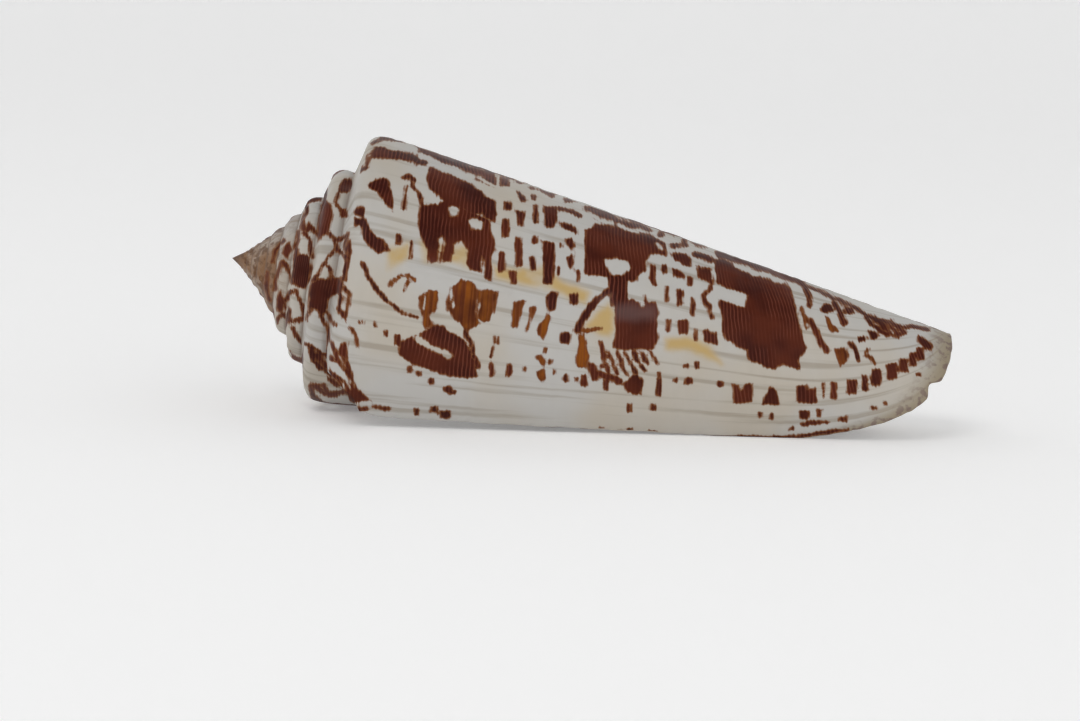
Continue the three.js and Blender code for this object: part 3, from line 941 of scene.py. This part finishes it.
def hidden_markings(turn, station, row):
    """Reach of the brown marks on the side that doesn't show: rows of bars that run together."""
    along = turn * TURN_LENGTH
    number = np.floor(station / ROW_PITCH)
    from_middle = np.abs(station / ROW_PITCH - number - 0.5) * ROW_PITCH
    blotch = value_noise(along / BLOTCH_LENGTH, station / BLOTCH_WIDTH, seed=11)
    bars = value_noise(along / BAR_LENGTH + BAR_SHIFT[0] * number, BAR_SHIFT[1] * number, seed=12)
    gaps = value_noise(along / GAP_LENGTH + GAP_SHIFT[0] * number, GAP_SHIFT[1] * number, seed=13)
    bar = np.minimum((bars - BAR_LEVEL + 0.5 * (blotch - 0.5)) * 4, BAR_HALF_WIDTH - from_middle)
    ragged = RAGGEDNESS * (value_noise(along / RAGGED_LENGTH, number, seed=15) - 0.5)
    patch = np.minimum((blotch + ragged - BLOTCH_LEVEL) * 14, (GAP_LEVEL - gaps) * 5)
    flames = value_noise(turn * FLAMES + 0.5 * row, 0.9 * row + turn, seed=14)
    on_spire = rising_step((SUTURE_ROW - row) / 2)
    return POINTS_PER_MM * lerp(np.maximum(bar, patch), (flames - FLAME_LEVEL) * 4, on_spire)


def relief(turn, row, station, age):
    """Height of the fine lines round the shell, the growth lines, and the spire's beads and ripples."""
    spiral_lines = value_noise(station / SPIRAL_PITCH, age / SPIRAL_RUN, seed=21) - 0.5
    growth_lines = value_noise(age / GROWTH_PITCH, station / GROWTH_RUN, seed=22) - 0.5
    ripple = value_noise(turn * SPIRE_RIPPLES, RIPPLES_ACROSS * row, seed=23) - 0.5
    rippled = rising_step((RIPPLE_TURN - turn) / RIPPLE_TURNS)
    beaded = rising_step((BEAD_TURN - turn) / BEAD_TURNS)
    beaded = beaded * rising_step(1 - np.abs(row - SHOULDER_ROW) / BEAD_ROWS)
    height = SPIRAL_RELIEF * spiral_lines + GROWTH_RELIEF * growth_lines + SPIRE_RIPPLE * ripple * rippled
    beads = BEAD_HEIGHT * SHOULDER_RADIUS * beaded * np.cos(FULL_TURN * BEADS * turn)
    return growth(turn) * (height + beads)


def vertex_normals(places, faces):
    normals = np.zeros_like(places)
    for count in (3, 4):
        corners = np.array([face for face in faces if len(face) == count])
        across = places[corners[:, 2]] - places[corners[:, 0]]
        down = places[corners[:, -1]] - places[corners[:, 1]]
        facing = np.cross(across, down)
        for corner in range(count):
            np.add.at(normals, corners[:, corner], facing)
    return normals / np.maximum(np.linalg.norm(normals, axis=1, keepdims=True), TINY)


def growth_age(depth, turn):
    """How far behind the curved edge of the lip the shell grew, along the spiral."""
    short = np.maximum((LENGTH - depth) / LIP_ROUNDING, SHORTEST)
    past_lip = np.log(short) - np.log(1 + short ** LIP_CURVE_POWER) / LIP_CURVE_POWER
    return (turn - LIP_ROUNDING_TURNS * past_lip) * TURN_LENGTH


def add_object(name, data):
    thing = bpy.data.objects.new(name, data)
    bpy.context.scene.collection.objects.link(thing)
    return thing


def smooth_mesh(name, vertices, faces):
    mesh = bpy.data.meshes.new(name)
    mesh.from_pydata(vertices, [], faces)
    mesh.polygons.foreach_set("use_smooth", np.ones(len(mesh.polygons), dtype=bool))
    return mesh


def shell_object():
    shell = Shell()
    table = shell.table()
    coil = np.ascontiguousarray(table[:, :3])
    turn, row, inside = table[:, 3:].T
    outside = 1 - inside
    rest = Rest(coil)
    view = View(rest)
    places = rest.point(coil)
    normals = vertex_normals(places, shell.faces)
    seen = view.seen(places)
    behind_lip = rising_step((row - BEHIND_LIP_ROW) / 2) * (turn < BEHIND_LIP_TURN)
    shows = rising_step((view.facing(places, normals) - FACING_FROM) / FACING_BLEND)
    shows = shows * outside * (1 - behind_lip)

    # Marks
    station = coil[:, 0] * growth(-turn)
    age = growth_age(coil[:, 0], turn)
    # Painted sheen: grey reflections painted into the colour on the side that shows
    brown, rust, stain, painted_sheen = seen_markings(seen)
    base_edge = rising_step((coil[:, 0] - base_depth(np.minimum(turn, 0))) / BASE_EDGE + 1)
    hidden = hidden_markings(turn, station, row) - FARTHEST * base_edge
    # Painted shade: the colour darkens along the seams between whorls
    to_seam = np.where(turn < -1, np.minimum(row, np.abs(SUTURE_ROW - row)), row)
    attributes = {
        "brown": lerp(hidden, brown, shows), "rust": rust * shows, "stain": stain * shows,
        "painted_sheen": painted_sheen * shows, "station": station, "age": age,
        "early": rising_step((TIP_TURN - turn) / TIP_TURNS), "base_edge": base_edge * outside,
        "inside": inside, "groove_shade": rising_step(1 - to_seam / GROOVE_ROWS) * outside,
    }

    # Relief, the healed break and the chip, and the belly worn flat
    ridge = np.exp(-((stroke_reach(seen, SCAR_RIDGE, 0) / SCAR_WIDTH) ** 2))
    height = relief(turn, row, station, age) * outside + SCAR_HEIGHT * shows * ridge
    from_chip = np.linalg.norm(seen - np.array(CHIP_PLACE), axis=1)
    chip = CHIP_DEPTH * rising_step(1 - from_chip / CHIP_REACH) * (turn > -CHIP_TURNS)
    places = places + normals * height[:, None] + chip[:, None] * (view.up - view.right)
    places[:, 2] = np.maximum(places[:, 2], 0)

    mesh = smooth_mesh("shell_surface", (places * MM).tolist(), shell.faces)
    for name, values in attributes.items():
        layer = mesh.attributes.new(name, "FLOAT", "POINT")
        layer.data.foreach_set("value", np.ascontiguousarray(values, dtype=np.float32))
    corners = np.array([place for face in shell.maps for place in face], dtype=np.float32)
    mesh.uv_layers.new(name="OFBake").data.foreach_set("uv", corners.reshape(-1))
    mesh.validate()
    return add_object("shell_surface", mesh), view


class Nodes:
    """Short ways to add shader nodes to one material."""

    def __init__(self, name):
        self.material = bpy.data.materials.new(name)
        self.material.use_nodes = True
        self.tree = self.material.node_tree

    def put(self, socket, value):
        if isinstance(value, bpy.types.NodeSocket):
            self.tree.links.new(value, socket)
        elif isinstance(value, tuple) and socket.type == "RGBA":
            socket.default_value = (*value, 1)
        else:
            socket.default_value = value

    def finish(self, name, value):
        self.put(self.tree.nodes["Principled BSDF"].inputs[name], value)

    def node(self, kind, **values):
        node = self.tree.nodes.new("ShaderNode" + kind)
        for name, value in values.items():
            self.put(node.inputs[name], value)
        return node

    def math(self, operation, *values):
        node = self.node("Math")
        node.operation = operation
        for socket, value in zip(node.inputs, values):
            self.put(socket, value)
        return node.outputs[0]

    def times(self, first, second):
        return self.math("MULTIPLY", first, second)

    def attribute(self, name):
        node = self.node("Attribute")
        node.attribute_name = name
        return node.outputs["Fac"]

    def step(self, value, low, high, to_low=0.0, to_high=1.0):
        node = self.node("MapRange", Value=value)
        node.interpolation_type = "SMOOTHSTEP"
        limits = {"From Min": low, "From Max": high, "To Min": to_low, "To Max": to_high}
        for name, limit in limits.items():
            self.put(node.inputs[name], limit)
        return node.outputs["Result"]

    def noise(self, vector, scale, detail=2.0):
        return self.node("TexNoise", Vector=vector, Scale=scale, Detail=detail).outputs["Fac"]

    def vector(self, x, y):
        return self.node("CombineXYZ", X=x, Y=y).outputs[0]

    def mix(self, share, first, second):
        node = self.node("Mix")
        node.data_type = "RGBA"
        sockets = [socket for socket in node.inputs if socket.enabled]
        for socket, value in zip(sockets, (share, first, second)):
            self.put(socket, value)
        return next(socket for socket in node.outputs if socket.enabled)

    def bump(self, height, strength, distance):
        return self.node("Bump", Height=height, Strength=strength, Distance=distance).outputs[0]


def shell_material():
    nodes = Nodes("porcelain_shell")
    place = nodes.node("TexCoord").outputs["Object"]
    station = nodes.attribute("station")
    age = nodes.attribute("age")

    # Fine lines round the shell, and growth lines across them
    round_lines = nodes.noise(nodes.vector(nodes.times(station, 2.6), nodes.times(age, 0.05)), 1.0, 3.0)
    growth_lines = nodes.noise(nodes.vector(nodes.times(age, 1.1), nodes.times(station, 0.03)), 1.0, 4.0)

    # Ground
    patches = nodes.noise(place, 300.0, 3.0)
    early = nodes.attribute("early")
    base_edge = nodes.attribute("base_edge")
    ground = nodes.mix(nodes.step(nodes.noise(place, 90.0), 0.42, 0.68), WHITE, CREAM)
    ground = nodes.mix(nodes.step(growth_lines, 0.52, 0.66, 0.0, 0.6), ground, GROWTH_LINE)
    stain = nodes.times(nodes.attribute("stain"), nodes.step(patches, 0.3, 0.6, 0.45, 1.0))
    ground = nodes.mix(stain, ground, YELLOW_TAN)
    ground = nodes.mix(nodes.times(early, nodes.step(patches, 0.35, 0.62, 0.4, 1.0)), ground, TIP_TAN)
    specks = nodes.step(nodes.noise(place, 1500.0, 3.0), 0.46, 0.6, 0.0, 0.7)
    ground = nodes.mix(nodes.times(early, specks), ground, TIP_BROWN)
    ground = nodes.mix(base_edge, ground, LIP_TAN)
    ground = nodes.mix(nodes.times(base_edge, specks), ground, SPECK_AND_SHEEN_GREY)
    # Painted shade: darker colour along the seams between whorls
    ground = nodes.mix(nodes.times(nodes.attribute("groove_shade"), 0.7), ground, GROOVE_SHADE)

    # Marks, ragged along the fine lines
    bent = nodes.times(nodes.noise(place, 260.0, 3.0), 14.0)
    waves = nodes.math("SINE", nodes.math("MULTIPLY_ADD", station, LINES_PER_MM * FULL_TURN, bent))
    pale = nodes.times(nodes.step(waves, 0.0, 1.0), nodes.step(patches, 0.38, 0.62, 0.1, 0.85))
    wobble = nodes.math("SUBTRACT", nodes.noise(place, 1400.0, 3.0), 0.5)
    reach = nodes.math("MULTIPLY_ADD", wobble, 3.0, nodes.attribute("brown"))
    reach = nodes.math("MULTIPLY_ADD", nodes.math("SUBTRACT", round_lines, 0.5), 4.0, reach)
    reach = nodes.math("MULTIPLY_ADD", waves, -0.25, reach)
    body = nodes.mix(nodes.step(nodes.noise(place, 220.0), 0.35, 0.65), CHOCOLATE, RED_BROWN)
    body = nodes.mix(pale, body, PALE_LINE)
    rust = nodes.times(nodes.attribute("rust"), nodes.step(patches, 0.36, 0.58, 0.35, 1.0))
    body = nodes.mix(nodes.times(rust, nodes.step(round_lines, 0.42, 0.62, 0.35, 1.0)), body, RUST)
    body = nodes.mix(nodes.step(reach, -0.2, 1.8), FRINGE, body)
    # Painted reflection: grey sheen mixed into the marks
    body = nodes.mix(nodes.times(nodes.attribute("painted_sheen"), 0.45), body, SPECK_AND_SHEEN_GREY)
    colour = nodes.mix(nodes.step(reach, -1.4, 0.5), ground, body)
    colour = nodes.mix(nodes.attribute("inside"), colour, INSIDE)

    relief_lines = nodes.math("ADD", nodes.times(round_lines, 0.6), growth_lines)
    nodes.finish("Base Color", colour)
    nodes.finish("Roughness", nodes.step(nodes.noise(place, 420.0), 0.3, 0.7, *ROUGHNESS))
    nodes.finish("Specular IOR Level", SPECULAR)
    nodes.finish("Normal", nodes.bump(relief_lines, BUMP_STRENGTH, BUMP_DEPTH))
    return nodes.material


def floor_object():
    """A pale floor that curves up all round, so that every view has it behind the shell."""
    profile = [(radius, 0.0) for radius in FLOOR_RINGS]
    for angle in np.linspace(0, math.pi / 2, FLOOR_STEPS + 1):
        profile.append((FLOOR_FLAT + FLOOR_CURVE * math.sin(angle), FLOOR_CURVE * (1 - math.cos(angle))))
    profile.append((FLOOR_FLAT + FLOOR_CURVE, FLOOR_HEIGHT))
    vertices = []
    for radius, height in profile:
        for angle in np.arange(FLOOR_SIDES) / FLOOR_SIDES * FULL_TURN:
            vertices.append((radius * math.cos(angle), radius * math.sin(angle), height))
    low = np.arange(len(vertices)).reshape(-1, FLOOR_SIDES)
    following = np.roll(low, -1, axis=1)
    quads = np.stack([low[:-1], low[1:], following[1:], following[:-1]], axis=-1)
    mesh = smooth_mesh("floor", vertices, [low[0].tolist()] + quads.reshape(-1, 4).tolist())
    nodes = Nodes("pale_floor")
    nodes.finish("Base Color", FLOOR)
    nodes.finish("Roughness", FLOOR_ROUGHNESS)
    nodes.finish("Emission Color", FLOOR)
    nodes.finish("Emission Strength", FLOOR_GLOW)
    mesh.materials.append(nodes.material)
    floor = add_object("floor", mesh)
    floor.location.z = -FLOOR_GAP
    return floor


def add_lights():
    world = bpy.data.worlds.new("soft_light")
    world.use_nodes = True
    world.node_tree.nodes["Background"].inputs["Color"].default_value = (1, 1, 1, 1)
    world.node_tree.nodes["Background"].inputs["Strength"].default_value = WORLD_LIGHT
    bpy.context.scene.world = world
    for name, place, size, power in LIGHTS:
        light = bpy.data.lights.new(name, "AREA")
        light.shape = "DISK"
        light.size = size
        light.energy = power
        lamp = add_object(name, light)
        lamp.location = place
        lamp.rotation_euler = (Vector(LIGHT_AIM) - Vector(place)).to_track_quat("-Z", "Y").to_euler()


def add_camera(view):
    camera = bpy.data.cameras.new("camera")
    camera.lens = LENS
    camera.sensor_width = SENSOR
    camera.clip_start = NEAREST_VIEW
    thing = add_object("camera", camera)
    axes = np.stack([view.right, view.up, view.back], axis=1)
    thing.matrix_world = Matrix.Translation(Vector(view.place * MM)) @ Matrix(axes).to_4x4()
    bpy.context.scene.camera = thing


surface, view = shell_object()
surface.data.materials.append(shell_material())
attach(surface, "root")
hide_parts("shell")

floor_object()
add_lights()
add_camera(view)
bpy.context.scene.view_settings.view_transform = "Standard"
